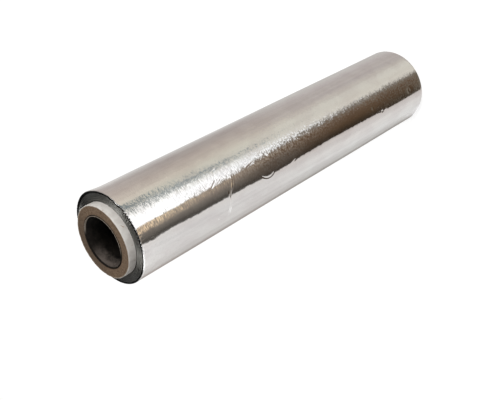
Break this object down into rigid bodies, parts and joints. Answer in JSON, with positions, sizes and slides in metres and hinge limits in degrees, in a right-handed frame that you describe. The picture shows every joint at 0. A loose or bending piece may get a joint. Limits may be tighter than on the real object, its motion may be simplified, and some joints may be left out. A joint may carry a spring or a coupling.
{
  "type": "aluminium foil roll",
  "caption": "Roll of household aluminium foil wound on a spiral board tube, with the white-wrapped core showing at both ends and creases in the outer turn.",
  "frame": {"origin": "centre of the end that the roll stands on, on the axis, at the level of the core's lower end", "axes": "+Z along the roll's axis, upwards from the end it stands on; -Y is the front, where the creases are"},
  "size_m": [0.0613, 0.0613, 0.311],
  "materials": {
    "foil": "bright rolled foil with fine lines round the roll",
    "white_paper": "matt uncoated paper",
    "board": "matt brown board, cut edge with fine plies"
  },
  "bodies": {
    "root": {"foil_winding": "foil", "core_wrap": "white_paper", "core_tube": "board"}
  },
  "joints": []
}
